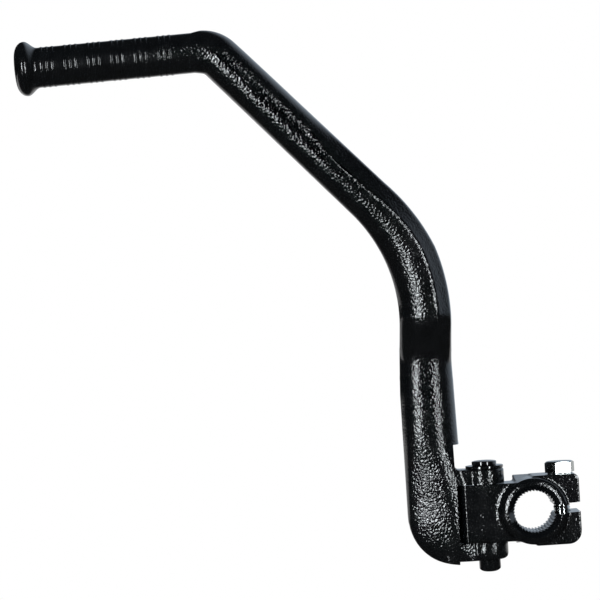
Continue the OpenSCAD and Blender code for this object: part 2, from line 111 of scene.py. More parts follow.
def block(name, low, high, turn=0):
    points = [(x, y, z) for x in (low[0], high[0]) for y in (low[1], high[1]) for z in (low[2], high[2])]
    if turn:
        matrix = Matrix.Rotation(math.radians(turn), 3, "Y")
        points = [matrix @ Vector(p) for p in points]
    faces = [[0, 1, 3, 2], [4, 6, 7, 5], [0, 4, 5, 1], [2, 3, 7, 6], [0, 2, 6, 4], [1, 5, 7, 3]]
    return outwardFaces(newObject(name, points, faces))


# an outline of (x, z) points, extruded along Y
def prism(name, outline, low, high):
    count = len(outline)
    points = [(x, low, z) for x, z in outline] + [(x, high, z) for x, z in outline]
    faces = [list(range(count)), [count + i for i in reversed(range(count))]]
    faces += [[i, i + count, (i + 1) % count + count, (i + 1) % count] for i in range(count)]
    return outwardFaces(newObject(name, points, faces))


def arcPoints(x, z, radius, start, end, count=10):
    angles = [math.radians(start + (end - start) * i / count) for i in range(count + 1)]
    return [(x + radius * math.cos(a), z + radius * math.sin(a)) for a in angles]


# the rounded lower edge of a revolved outline, as a quarter of an ellipse
def roundedEdge(radius, low, across, rise, step=6):
    turns = [math.radians(a) for a in range(0, 91, step)]
    return [(radius - across * (1 - math.sin(a)), low + rise * (1 - math.cos(a))) for a in turns]


# the object with its modifiers becomes a plain mesh
def applied(obj):
    graph = bpy.context.evaluated_depsgraph_get()
    mesh = bpy.data.meshes.new_from_object(obj.evaluated_get(graph))
    obj.modifiers.clear()
    old = obj.data
    obj.data = mesh
    bpy.data.meshes.remove(old)
    return obj


def modified(obj, kind, **settings):
    modifier = obj.modifiers.new(kind.title(), kind)
    for key, value in settings.items():
        setattr(modifier, key, value)
    return applied(obj)


def joined(name, parts):
    with bpy.context.temp_override(active_object=parts[0], selected_editable_objects=parts):
        bpy.ops.object.join()
    parts[0].name = name
    return parts[0]


def combined(obj, other, operation):
    modified(obj, "BOOLEAN", object=other, operation=operation, solver="MANIFOLD")
    bpy.data.objects.remove(other)
    return obj


# one forging out of overlapping solids, with the soft corners and slight waves that the die leaves
def forged(name, parts, grid, softness, wave, rise):
    obj = joined(name, parts)
    modified(obj, "REMESH", mode="VOXEL", voxel_size=grid * mm, adaptivity=0)
    modified(obj, "SMOOTH", factor=0.5, iterations=softness)
    normals = [vertex.normal.copy() for vertex in obj.data.vertices]
    for vertex, normal in zip(obj.data.vertices, normals):
        lift = noise.noise(vertex.co / (wave * mm)) * rise - rise
        vertex.co += normal * lift * mm
    return obj


def finishShading(obj, degrees):
    obj.data.shade_smooth()
    obj.data.set_sharp_from_angle(angle=math.radians(degrees))


# Materials

def linear(code):
    parts = [int(code[i:i + 2], 16) / 255 for i in (1, 3, 5)]
    return [c / 12.92 if c <= 0.04045 else ((c + 0.055) / 1.055) ** 2.4 for c in parts] + [1]


# links maps an input, by name or number, to a value or to another node's output
def addNode(tree, kind, links=None, **settings):
    node = tree.nodes.new(kind)
    for key, value in settings.items():
        setattr(node, key, value)
    for key, value in (links or {}).items():
        if isinstance(value, bpy.types.NodeSocket):
            tree.links.new(value, node.inputs[key])
        else:
            node.inputs[key].default_value = value
    return node


def math2(tree, operation, a, b):
    return addNode(tree, "ShaderNodeMath", {0: a, 1: b}, operation=operation).outputs[0]


def newMaterial(name):
    material = bpy.data.materials.new(name)
    material.use_nodes = True
    tree = material.node_tree
    tree.nodes.clear()
    shader = addNode(tree, "ShaderNodeBsdfPrincipled")
    addNode(tree, "ShaderNodeOutputMaterial", {"Surface": shader.outputs["BSDF"]})
    place = addNode(tree, "ShaderNodeTexCoord")
    return material, tree, shader, place.outputs["Object"]


noiseSpan = {"From Min": 0.3, "From Max": 0.7}  # where most values of a noise lie
enamelCoat = {"IOR": 1.6, "Coat Weight": 1, "Coat Roughness": 0.03}
bareMetal = {"Metallic": 1}


# links the looks to the shader, and sets the constants on its other sockets
def dressShader(tree, shader, tint, dull, bump, constants):
    tree.links.new(tint.outputs["Result"], shader.inputs["Base Color"])
    tree.links.new(dull.outputs["Result"], shader.inputs["Roughness"])
    tree.links.new(bump.outputs["Normal"], shader.inputs["Normal"])
    if "Coat Weight" in constants:
        tree.links.new(bump.outputs["Normal"], shader.inputs["Coat Normal"])
    for socket, value in constants.items():
        shader.inputs[socket].default_value = value


# Gloss black stoving enamel over a shot-blasted forging. The enamel is deep black and glassy. The
# scale pits under it, drawn about a millimetre wide so that they show, break every highlight into
# separate sparks. The grip was rolled smoother, so the pits fade out along it. They are a little
# shallower on the hinge and the ring, and nearly gone on the flanks, which slid in the die.
def forgedEnamel():
    look = dict(pit=0.95, pitDetail=0.8, pitDepth=0.105, wave=5.0, waveDetail=1.0, waveDepth=0.07,
                shine=0.14, dull=0.22, gripFrom=-185, gripTo=-145, gripShare=0.4, hingeFrom=-36,
                hingeTo=-30, hingeShare=0.75, flankFrom=0.6, flankTo=0.92, flankShare=0.15)
    material, tree, shader, place = newMaterial("glossEnamelOverForging")
    grain = addNode(tree, "ShaderNodeTexNoise", {
        "Vector": place, "Scale": 1 / (look["pit"] * mm), "Detail": look["pitDetail"]})
    pits = addNode(tree, "ShaderNodeMapRange", {"Value": grain.outputs["Fac"], **noiseSpan})
    wave = addNode(tree, "ShaderNodeTexNoise", {
        "Vector": place, "Scale": 1 / (look["wave"] * mm), "Detail": look["waveDetail"]})
    tint = addNode(tree, "ShaderNodeMix", {
        "Factor": wave.outputs["Fac"], "A": linear("#050607"), "B": linear("#0c0e10")}, data_type="RGBA")
    dull = addNode(tree, "ShaderNodeMapRange", {
        "Value": wave.outputs["Fac"], **noiseSpan, "To Min": look["shine"], "To Max": look["dull"]})
    along = addNode(tree, "ShaderNodeSeparateXYZ", {0: place}).outputs["X"]
    grip = addNode(tree, "ShaderNodeMapRange", {
        "Value": along, "From Min": look["gripFrom"] * mm, "From Max": look["gripTo"] * mm,
        "To Min": look["gripShare"], "To Max": 1.0}, interpolation_type="SMOOTHSTEP").outputs["Result"]
    hinge = addNode(tree, "ShaderNodeMapRange", {
        "Value": along, "From Min": look["hingeFrom"] * mm, "From Max": look["hingeTo"] * mm,
        "To Min": 1.0, "To Max": look["hingeShare"]}, interpolation_type="SMOOTHSTEP").outputs["Result"]
    facing = addNode(tree, "ShaderNodeSeparateXYZ", {0: place.node.outputs["Normal"]}).outputs["Y"]
    square = addNode(tree, "ShaderNodeMath", {0: facing}, operation="ABSOLUTE").outputs[0]
    flank = addNode(tree, "ShaderNodeMapRange", {
        "Value": square, "From Min": look["flankFrom"], "From Max": look["flankTo"],
        "To Min": look["flankShare"], "To Max": 1.0}, interpolation_type="SMOOTHSTEP").outputs["Result"]
    slow = addNode(tree, "ShaderNodeBump", {
        "Height": wave.outputs["Fac"], "Distance": look["waveDepth"] * mm, "Strength": 1.0})
    fine = addNode(tree, "ShaderNodeBump", {
        "Height": pits.outputs["Result"], "Distance": look["pitDepth"] * mm,
        "Strength": math2(tree, "MULTIPLY", math2(tree, "MULTIPLY", grip, hinge), flank),
        "Normal": slow.outputs["Normal"]})
    dressShader(tree, shader, tint, dull, fine, enamelCoat)
    return material


# The same enamel over turned or milled steel: smooth, with a faint cutter lay under the paint, drawn
# wider than the real one so that it shows.
def machinedEnamel():
    look = dict(lay=1.6, layDetail=2.0, layDepth=0.02, shine=0.07, dull=0.14)
    material, tree, shader, place = newMaterial("glossEnamelOverMachining")
    lay = addNode(tree, "ShaderNodeTexNoise", {
        "Vector": place, "Scale": 1 / (look["lay"] * mm), "Detail": look["layDetail"]})
    tint = addNode(tree, "ShaderNodeMix", {
        "Factor": lay.outputs["Fac"], "A": linear("#060708"), "B": linear("#0e1012")}, data_type="RGBA")
    dull = addNode(tree, "ShaderNodeMapRange", {
        "Value": lay.outputs["Fac"], **noiseSpan, "To Min": look["shine"], "To Max": look["dull"]})
    bump = addNode(tree, "ShaderNodeBump", {
        "Height": lay.outputs["Fac"], "Distance": look["layDepth"] * mm, "Strength": 1.0})
    dressShader(tree, shader, tint, dull, bump, enamelCoat)
    return material


# Bright zinc plating on a rolled steel bolt: pale silver with a cool cast and a soft cloudiness. The
# scratches are drawn wide enough to blur what it reflects.
def brightZinc():
    look = dict(cloud=2.4, cloudDetail=3.0, scratch=0.35, scratchDetail=1.0, scratchDepth=0.003,
                shine=0.1, dull=0.16)
    material, tree, shader, place = newMaterial("brightZincPlate")
    cloud = addNode(tree, "ShaderNodeTexNoise", {
        "Vector": place, "Scale": 1 / (look["cloud"] * mm), "Detail": look["cloudDetail"]})
    tint = addNode(tree, "ShaderNodeMix", {
        "Factor": cloud.outputs["Fac"], "A": linear("#c3c9c8"), "B": linear("#dfe3e1")}, data_type="RGBA")
    dull = addNode(tree, "ShaderNodeMapRange", {
        "Value": cloud.outputs["Fac"], "To Min": look["shine"], "To Max": look["dull"]})
    scratch = addNode(tree, "ShaderNodeTexNoise", {
        "Vector": place, "Scale": 1 / (look["scratch"] * mm), "Detail": look["scratchDetail"]})
    bump = addNode(tree, "ShaderNodeBump", {
        "Height": scratch.outputs["Fac"], "Distance": look["scratchDepth"] * mm, "Strength": 1.0})
    dressShader(tree, shader, tint, dull, bump, bareMetal)
    return material


# Drawn and hardened spring steel, oiled: mid grey, with a fine grain.
def springSteel():
    look = dict(grain=0.5, grainDetail=3.0, grainDepth=0.004, shine=0.18, dull=0.34)
    material, tree, shader, place = newMaterial("oiledSpringSteel")
    grain = addNode(tree, "ShaderNodeTexNoise", {
        "Vector": place, "Scale": 1 / (look["grain"] * mm), "Detail": look["grainDetail"]})
    tint = addNode(tree, "ShaderNodeMix", {
        "Factor": grain.outputs["Fac"], "A": linear("#7c7e80"), "B": linear("#a3a5a6")}, data_type="RGBA")
    dull = addNode(tree, "ShaderNodeMapRange", {
        "Value": grain.outputs["Fac"], "To Min": look["shine"], "To Max": look["dull"]})
    bump = addNode(tree, "ShaderNodeBump", {
        "Height": grain.outputs["Fac"], "Distance": look["grainDepth"] * mm, "Strength": 1.0})
    dressShader(tree, shader, tint, dull, bump, bareMetal)
    return material


enamelForged = forgedEnamel()
enamelMachined = machinedEnamel()
zinc = brightZinc()
steel = springSteel()
print("materials made")


def paint(obj, materials, slot=0):
    obj.data.materials.clear()
    for material in materials:
        obj.data.materials.append(material)
    for face in obj.data.polygons:
        face.material_index = slot


# a cutter leaves machined faces, which the second material of the forging shows
def machined(obj, cutter):
    paint(cutter, [enamelForged, enamelMachined], 1)
    combined(obj, cutter, "DIFFERENCE")


# Geometry nodes

# a new tree with a geometry output and named inputs
def nodeTree(name, floats, ints=()):
    tree = bpy.data.node_groups.new(name, "GeometryNodeTree")
    tree.interface.new_socket("Geometry", in_out="OUTPUT", socket_type="NodeSocketGeometry")
    for label in floats:
        tree.interface.new_socket(label, in_out="INPUT", socket_type="NodeSocketFloat")
    for label in ints:
        tree.interface.new_socket(label, in_out="INPUT", socket_type="NodeSocketInt")
    return tree, tree.nodes.new("NodeGroupInput").outputs


# runs the tree on an empty object and keeps the result as a plain mesh
def grown(name, tree, values, shape, material):
    solid = addNode(tree, "GeometryNodeRealizeInstances", {"Geometry": shape})
    painted = addNode(tree, "GeometryNodeSetMaterial", {
        "Geometry": solid.outputs[0], "Material": material})
    addNode(tree, "NodeGroupOutput", {0: painted.outputs[0]})
    obj = newObject(name, [(0, 0, 0)], [])
    modifier = obj.modifiers.new("Grow", "NODES")
    modifier.node_group = tree
    for item in tree.interface.items_tree:
        if item.in_out == "INPUT":
            modifier[item.identifier] = values[item.name]
    return applied(obj)


# a helix of wire that climbs from the origin along Z; its section has the given number of sides
def coil(name, turns, radius, height, wireR, sides, material):
    tree, given = nodeTree(name, ["Turns", "Radius", "Height", "Wire"])
    helix = addNode(tree, "GeometryNodeCurveSpiral", {
        "Resolution": 48, "Rotations": given["Turns"], "Start Radius": given["Radius"],
        "End Radius": given["Radius"], "Height": given["Height"]})
    section = addNode(tree, "GeometryNodeCurvePrimitiveCircle", {
        "Resolution": sides, "Radius": given["Wire"]})
    swept = addNode(tree, "GeometryNodeCurveToMesh", {
        "Curve": helix.outputs[0], "Profile Curve": section.outputs[0], "Fill Caps": True})
    values = {"Turns": turns, "Radius": radius * mm, "Height": height * mm, "Wire": wireR * mm}
    return grown(name, tree, values, swept.outputs[0], material)


# The lever's middle line and sections, close to those of the part's source. Here the sections are
# rounder, and bendSlant and footFlat slant the inner front of the wide bend and of the foot.

lever = dict(
    bendX=42, bendZ=120.2, bendR=83, elbowX=132.9, elbowZ=216.3, elbowR=10.8, footX=46,
    elbowHalf=9.8, diagonalInner=10.8, diagonalOuter=10, bendOuter=11.8, lowerInner=12.8,
    waistOuter=10.9, calfInner=13.2, shoulderOuter=13, heelInner=11.3, heelOuter=24,
    frontDepth=8.9, backDepth=8.2, offset=8, stepLow=69, stepHigh=92, heelZ=2.5, lowZ=-22.6,
    heelRound=23.5, heelThinning=0.35, heelExponent=2.15, toeSpread=3, sideDraft=0.1, leadIn=5,
    waistRun=16, calfRun=30, elbowFade=0.2, flankEase=0.15, exponent=2.25)
ridge = dict(start=0.45, full=0.85, startU=0.15, endU=0.5, sideV=0.35, fade=0.1)
bendSlant = dict(shift=0.3, exponent=1.8)
footFlat = dict(high=45, low=18, edge=0.12, slope=0.3, share=0.6)
pedal = dict(length=89, rise=2, gripD=18.1, flangeD=24.6, faceD=12.6, rimAt=4.5, flangeFoot=10.4)
fork = dict(pivot=21, earR=8.8, earLow=-21.2, earTop=20.2, webT=13, webRoot=6, floor=13.4,
            tongueH=26.4, gap=0.1, relief=13.8, reliefH=11.6, reliefCorner=2.4, pinR=4.9,
            pinFixed=0.01, ballR=3.5, pocket=0.1, pocketL=28.65, drillHalf=59, edge=2.4)
pivotPlace = (-fork["pivot"], 0, 0)

fall = math.degrees(math.atan2(lever["elbowZ"] - lever["bendZ"], lever["elbowX"] - lever["bendX"]))
lean = math.degrees(math.atan2(lever["footX"] - lever["bendX"], lever["bendZ"]))
elbowTurn = pedal["rise"] + fall
bendTurn = 90 + lean - fall
elbowTangent = lever["elbowR"] * math.tan(math.radians(elbowTurn / 2))
bendTangent = lever["bendR"] * math.tan(math.radians(bendTurn / 2))
elbowArc = lever["elbowR"] * math.radians(elbowTurn)
bendArc = lever["bendR"] * math.radians(bendTurn)
diagonalL = math.hypot(lever["elbowX"] - lever["bendX"], lever["elbowZ"] - lever["bendZ"]) \
    - elbowTangent - bendTangent
sDiagonal = elbowArc
sBend = sDiagonal + diagonalL
sLower = sBend + bendArc


def lineAt(z):
    return sLower + (lever["bendZ"] - z) / math.cos(math.radians(lean)) - bendTangent


sShoulder = lineAt(fork["earTop"] + fork["reliefH"])
sHeel = lineAt(lever["heelZ"])
heelDrop = (lever["heelZ"] - lever["lowZ"]) / math.cos(math.radians(lean))


def heading(degrees):
    return Vector((math.cos(math.radians(degrees)), math.sin(math.radians(degrees))))


def outward(degrees):
    return Vector((-math.sin(math.radians(degrees)), math.cos(math.radians(degrees))))


elbowStart = Vector((-lever["elbowX"], lever["elbowZ"])) - elbowTangent * heading(pedal["rise"])
diagonalStart = Vector((-lever["elbowX"], lever["elbowZ"])) + elbowTangent * heading(-fall)
bendStart = Vector((-lever["bendX"], lever["bendZ"])) - bendTangent * heading(-fall)
lowerStart = Vector((-lever["bendX"], lever["bendZ"])) + bendTangent * heading(-90 - lean)


def lineAngle(s):
    if s < 0:
        return pedal["rise"]
    if s < sDiagonal:
        return pedal["rise"] - elbowTurn * s / elbowArc
    if s < sBend:
        return -fall
    if s < sLower:
        return -fall - bendTurn * (s - sBend) / bendArc
    return -90 - lean


def linePoint(s):
    if s < 0:
        return elbowStart + s * heading(pedal["rise"])
    if s < sDiagonal:
        return elbowStart + lever["elbowR"] * (outward(lineAngle(s)) - outward(pedal["rise"]))
    if s < sBend:
        return diagonalStart + (s - sDiagonal) * heading(-fall)
    if s < sLower:
        return bendStart + lever["bendR"] * (outward(lineAngle(s)) - outward(-fall))
    return lowerStart + (s - sLower) * heading(-90 - lean)


def ease(v, low, high):
    t = max(0, min(1, (v - low) / (high - low)))
    return t * t * (3 - 2 * t)


def lookup(v, table):
    if v <= table[0][0]:
        return table[0][1]
    for (x0, y0), (x1, y1) in zip(table, table[1:]):
        if v <= x1:
            return y0 + (y1 - y0) * (v - x0) / (x1 - x0)
    return table[-1][1]


def power(v, e):
    return math.copysign(abs(v) ** e, v)


startHalf = pedal["gripD"] / 2 - lever["flankEase"]
innerTable = [
    (-lever["leadIn"], startHalf), (0, lever["elbowHalf"]), (sDiagonal, lever["elbowHalf"]),
    (sBend, lever["diagonalInner"]), (sLower, lever["lowerInner"]),
    (sLower + lever["calfRun"], lever["calfInner"]), (sHeel, lever["heelInner"])]
outerTable = [
    (-lever["leadIn"], startHalf), (0, lever["elbowHalf"]),
    (sDiagonal + lever["elbowFade"] * diagonalL, lever["diagonalOuter"]),
    (sBend, lever["diagonalOuter"]), (sBend + bendArc / 2, lever["bendOuter"]),
    (sLower, lever["waistOuter"]), (sLower + lever["waistRun"], lever["waistOuter"]),
    (sShoulder, lever["shoulderOuter"]), (sHeel, lever["heelOuter"])]
frontTable = [
    (-lever["leadIn"], startHalf), (sDiagonal, lever["elbowHalf"]), (sLower, lever["frontDepth"])]
backTable = [
    (-lever["leadIn"], startHalf), (sDiagonal, lever["elbowHalf"]), (sLower, lever["backDepth"])]


# point on a squared-off quarter with a slanted corner, at share t of its length
def cornerPoint(t, ridgeU, ridgeV):
    path = [Vector((1, 0)), Vector((1, ridgeV)), Vector((ridgeU, 1)), Vector((0, 1))]
    lengths = [(b - a).length for a, b in zip(path, path[1:])]
    left = t * sum(lengths)
    for a, b, size in zip(path, path[1:], lengths):
        if left <= size:
            return a + (b - a) * (left / size)
        left -= size
    return path[-1]


# one ring of points round the arm; the heel's rounding moves its inner side only
def armRing(s, heelAngle, count=112):
    place = linePoint(s)
    side = outward(lineAngle(s))
    turned = max(0, math.cos(math.radians(heelAngle)))
    toe = 1 - turned ** (2 / lever["heelExponent"])
    outer = lookup(s, outerTable) + lever["toeSpread"] * toe
    inner = lever["heelRound"] * toe - lookup(s, innerTable)
    middle, half = (outer + inner) / 2, (outer - inner) / 2
    thin = 1 - lever["heelThinning"] * (1 - turned)
    front, back = lookup(s, frontTable) * thin, lookup(s, backTable) * thin
    square = ease(s, sDiagonal, sDiagonal + diagonalL / 3)  # the elbow is round, and the arm is squarer
    e = 2 / (2 + (lever["exponent"] - 2) * square)
    upper = ease(place[1], lever["stepLow"], lever["stepHigh"])  # 0 below the step, 1 above it
    stepY = -lever["offset"] * upper
    ridgeOn = ease(s, sDiagonal + diagonalL * ridge["start"], sDiagonal + diagonalL * ridge["full"])
    ridgeOn *= ridge["fade"] + (1 - ridge["fade"]) * upper
    flatOn = footFlat["share"] * ease(-place[1], -footFlat["high"], -footFlat["low"])
    growth = ease(s, sBend - bendArc / 3, sBend + bendArc / 2)
    ridgeU = ridge["startU"] + (ridge["endU"] - ridge["startU"]) * growth
    shift = bendSlant["shift"] * growth * upper
    slanted = e + (2 / bendSlant["exponent"] - e) * growth * upper
    points = []
    for i in range(count):
        a = 2 * math.pi * i / count
        inFront, inside = math.sin(a) < 0, math.cos(a) < 0
        deep = power(math.sin(a), slanted if inFront and inside else e)
        across = power(math.cos(a), e)
        if deep < 0 and across > 0:
            t = (2 * math.pi - a) / (math.pi / 2)
            corner = cornerPoint(t, ridgeU, ridge["sideV"])
            across += (corner[0] - across) * ridgeOn
            deep += (-corner[1] - deep) * ridgeOn
        if inFront and across < ridgeU:
            across += shift * (1 + across if inside else 1 - across / ridgeU)
        wide = middle + half * across * (1 - lever["sideDraft"] * square * abs(deep))
        y = deep * (front if deep < 0 else back)
        facet = footFlat["slope"] * max(0, footFlat["edge"] - across) * half - front
        y = max(y, y + (facet - y) * flatOn) if deep < 0 else y
        points.append((place[0] + wide * side[0], y + stepY, place[1] + wide * side[1]))
    return points


def spread(low, high, count):
    return [low + (high - low) * i / count for i in range(count)]


def buildArm():
    steps = dict(elbow=20, diagonal=60, bend=70, lower=90, heel=40)
    stations = [-lever["leadIn"]] + spread(0, sDiagonal, steps["elbow"])
    stations += spread(sDiagonal, sBend, steps["diagonal"]) + spread(sBend, sLower, steps["bend"])
    stations += spread(sLower, sHeel, steps["lower"])
    rings = [armRing(s, 0) for s in stations]
    for a in spread(0, 90, steps["heel"]) + [90]:
        drop = math.sin(math.radians(a)) ** (2 / lever["heelExponent"])
        rings.append(armRing(sHeel + heelDrop * drop, a))
    return loft("arm", rings)


def buildPedal():
    steps = dict(face=12, flange=16, grip=60)
    endLength = pedal["length"] - elbowTangent
    endPlace = elbowStart - endLength * heading(pedal["rise"])
    face, rim, grip = pedal["faceD"] / 2, pedal["flangeD"] / 2, pedal["gripD"] / 2
    rimAt, foot = pedal["rimAt"], pedal["flangeFoot"]
    outline = [(0, 0)]
    for i in range(steps["face"] + 1):
        a = math.radians(90 * i / steps["face"])
        outline.append((face + (rim - face) * math.sin(a), rimAt * (1 - math.cos(a))))
    for i in range(1, steps["flange"] + 1):
        share = i / steps["flange"]
        proud = (rim - grip) / 2 * (1 + math.cos(math.pi * share))
        outline.append((grip + proud, rimAt + (foot - rimAt) * share))
    outline += [(grip, h) for h in spread(foot + 1, endLength, steps["grip"])]
    outline += [(grip, endLength), (0, endLength)]
    obj = revolve("pedal", outline)
    ribs = gripRibs()
    ribs.data.materials.clear()
    combined(obj, ribs, "UNION")
    turn = Matrix.Rotation(math.radians(90 - pedal["rise"]), 4, "Y")
    move = Matrix.Translation(Vector((endPlace[0], -lever["offset"], endPlace[1])) * mm)
    obj.data.transform(move @ turn)
    return obj


# three low ribs to a group, six groups along the grip, each a full ring
def gripRibs():
    size = dict(groups=6, perGroup=3, groupPitch=10.6, ribPitch=2.5, first=14.8, height=0.2, width=1.3,
                around=128, beadAround=14)
    tree, given = nodeTree("gripRibs", ["Group Pitch", "Rib Pitch", "First", "Radius", "Height", "Width"],
                           ["Groups", "Per Group"])
    number = math2(tree, "MULTIPLY", given["Groups"], given["Per Group"])
    line = addNode(tree, "GeometryNodeMeshLine", {"Count": number, "Offset": (0, 0, 0)})
    index = addNode(tree, "GeometryNodeInputIndex").outputs[0]
    halfway = math2(tree, "ADD", index, 0.5)  # so that rounding can't shift a rib to the next group
    group = math2(tree, "FLOOR", math2(tree, "DIVIDE", halfway, given["Per Group"]), 0.0)
    inGroup = math2(tree, "SUBTRACT", index, math2(tree, "MULTIPLY", group, given["Per Group"]))
    middle = (size["perGroup"] - 1) / 2
    fromMiddle = math2(tree, "MULTIPLY", math2(tree, "SUBTRACT", inGroup, middle), given["Rib Pitch"])
    groupAt = math2(tree, "ADD", given["First"], math2(tree, "MULTIPLY", group, given["Group Pitch"]))
    spot = addNode(tree, "ShaderNodeCombineXYZ", {"Z": math2(tree, "ADD", groupAt, fromMiddle)})
    placed = addNode(tree, "GeometryNodeSetPosition", {
        "Geometry": line.outputs[0], "Position": spot.outputs[0]})
    ring = addNode(tree, "GeometryNodeCurvePrimitiveCircle", {
        "Resolution": size["around"], "Radius": given["Radius"]})
    bead = addNode(tree, "GeometryNodeCurvePrimitiveCircle", {
        "Resolution": size["beadAround"], "Radius": 1.0})
    squash = addNode(tree, "ShaderNodeCombineXYZ", {"X": given["Height"], "Y": given["Width"], "Z": 1.0})
    oval = addNode(tree, "GeometryNodeTransform", {
        "Geometry": bead.outputs[0], "Scale": squash.outputs[0]})
    swept = addNode(tree, "GeometryNodeCurveToMesh", {
        "Curve": ring.outputs[0], "Profile Curve": oval.outputs[0]})
    copies = addNode(tree, "GeometryNodeInstanceOnPoints", {
        "Points": placed.outputs[0], "Instance": swept.outputs[0]})
    values = {
        "Groups": size["groups"], "Per Group": size["perGroup"], "Group Pitch": size["groupPitch"] * mm,
        "Rib Pitch": size["ribPitch"] * mm, "First": size["first"] * mm,
        "Radius": pedal["gripD"] / 2 * mm, "Height": size["height"] * mm, "Width": size["width"] / 2 * mm}
    return outwardFaces(grown("gripRibs", tree, values, copies.outputs[0], enamelForged))


def buildLever():
    cut = dict(side=40, past=20, right=10, drillFrom=-1)
    pivot, edge, low, high = fork["pivot"], fork["edge"], fork["earLow"], fork["earTop"]
    rounded = roundedEdge(fork["earR"], low, edge, edge, step=15)
    ear = revolve("ear", [(0, low)] + rounded + [(fork["earR"], high), (0, high)], pivotPlace)
    web = block("web", (-pivot - (fork["floor"] + fork["webRoot"]), -fork["webT"] / 2, low),
                (-pivot, fork["webT"] / 2, high))
    obj = forged("kickLever", [buildArm(), ear, web], grid=0.64, softness=8, wave=9, rise=0.03)
    combined(obj, buildPedal(), "UNION")
    paint(obj, [enamelForged, enamelMachined])
    print("lever forged", len(obj.data.polygons))

    wall, corner, top = -pivot - fork["relief"], fork["reliefCorner"], high + fork["reliefH"]
    side, past, right = cut["side"], cut["past"], cut["right"]
    bite = [(wall, top)] + arcPoints(wall + corner, high + corner, corner, 180, 270)
    bite += [(right, high), (right, top)]
    machined(obj, prism("cutter", bite, -side, side))
    machined(obj, block("cutter", (wall, -side, low - past), (right, side, low)))
    inner = fork["tongueH"] / 2 + fork["gap"]
    machined(obj, block("cutter", (-pivot - fork["floor"], -side, -inner), (right, side, inner)))
    hole = fork["pinR"] + fork["pinFixed"]
    machined(obj, cylinder("cutter", hole, low - past, high + past, pivotPlace))
    pocketR, depth, start = fork["ballR"] + fork["pocket"], fork["pocketL"], cut["drillFrom"]
    tip = depth + pocketR / math.tan(math.radians(fork["drillHalf"]))
    pocket = revolve("cutter", [(0, start), (pocketR, start), (pocketR, depth), (0, tip)], steps=64)
    turn = Matrix.Rotation(math.radians(-90), 4, "Y")
    pocket.data.transform(Matrix.Translation(Vector(pivotPlace) * mm) @ turn)
    machined(obj, pocket)
    print("lever machined", len(obj.data.polygons))
    return obj


kickLever = buildLever()
finishShading(kickLever, 38)


# Shaft boss

boss = dict(boreR=9.1, grooveDepth=0.8, grooves=40, grooveShare=0.5, grooveSink=0.3, ringR=15.1,
            ringL=26, mouth=2.2, rim=2.4, rimAcross=4.4, fillet=4.2, tongueR=13.1, tongueH=26.4, neckT=17,
            lugReach=20.8, lugH=31.8, lugT=20, lugBack=1, upperR=2.6, lowerR=6, slotW=4.3, slotTilt=2,
            heelReach=7.9, heelDraft=6.5, heelSink=0.2, boltR=4, boltGap=0.12, boltClear=0.2,
            pinRunning=0.05, dimple=0.35)
boltPlace = (boss["boreR"] + boss["boltGap"] + boss["boltR"], boss["lugBack"], 0)
beyond = 40  # farther out than any face of the boss


# cutters for the grooves of the bore, one wedge per groove round the shaft axis
def serrations():
    tree, given = nodeTree("serrations", ["Radius", "Depth", "Length"], ["Grooves"])
    ring = addNode(tree, "GeometryNodeMeshCircle", {
        "Vertices": given["Grooves"], "Radius": given["Radius"]})
    wedge = addNode(tree, "GeometryNodeMeshCylinder", {
        "Vertices": 3, "Side Segments": 1, "Radius": given["Depth"], "Depth": given["Length"]})
    place = addNode(tree, "GeometryNodeInputPosition").outputs[0]
    turn = addNode(tree, "FunctionNodeAlignRotationToVector", {"Vector": place}, axis="Y")
    copies = addNode(tree, "GeometryNodeInstanceOnPoints", {
        "Points": ring.outputs[0], "Instance": wedge.outputs[0], "Rotation": turn.outputs[0]})
    half = math.radians(boss["grooveShare"] * 180 / boss["grooves"])
    bulge = boss["boreR"] * (1 - math.cos(half))
    size = (boss["grooveDepth"] + bulge + boss["grooveSink"]) / 1.5  # a wedge is 1.5 radii deep
    values = {"Grooves": boss["grooves"], "Radius": (boss["boreR"] + boss["grooveDepth"] - size) * mm,
              "Depth": size * mm, "Length": (boss["ringL"] + 2) * mm}
    obj = grown("serrations", tree, values, copies.outputs[0], enamelMachined)
    obj.data.transform(Matrix.Rotation(math.radians(180 / boss["grooves"]), 4, "Z"))
    obj.data.transform(Matrix.Rotation(math.radians(90), 4, "X"))
    return outwardFaces(obj)


# the ring with its soft front rim, and the concave fillet between it and the neck
def ringParts():
    ringR, halfL, rim, fillet = boss["ringR"], boss["ringL"] / 2, boss["rim"], boss["fillet"]
    outline = [(0, -halfL)] + roundedEdge(ringR, -halfL, boss["rimAcross"], rim)
    outline += [(ringR, halfL - rim), (ringR - rim, halfL), (0, halfL)]
    ring = revolve("ring", outline, axis="Y")
    outer, neck, tall = ringR + fillet, boss["neckT"] / 2, boss["tongueH"] / 2
    rise = halfL - rim - neck
    turns = [math.radians(a) for a in range(0, 91, 6)]
    curve = [(outer - fillet * math.sin(a), neck + rise * (1 - math.cos(a))) for a in turns]
    end = curve[-1][1]
    outline = [(0, -end)] + [(r, -h) for r, h in reversed(curve)] + curve + [(0, end)]
    blend = revolve("blend", outline, axis="Y")
    keep = block("keep", (-fork["pivot"], -beyond, -tall), (0, beyond, tall))
    combined(blend, keep, "INTERSECT")
    return [ring, blend]


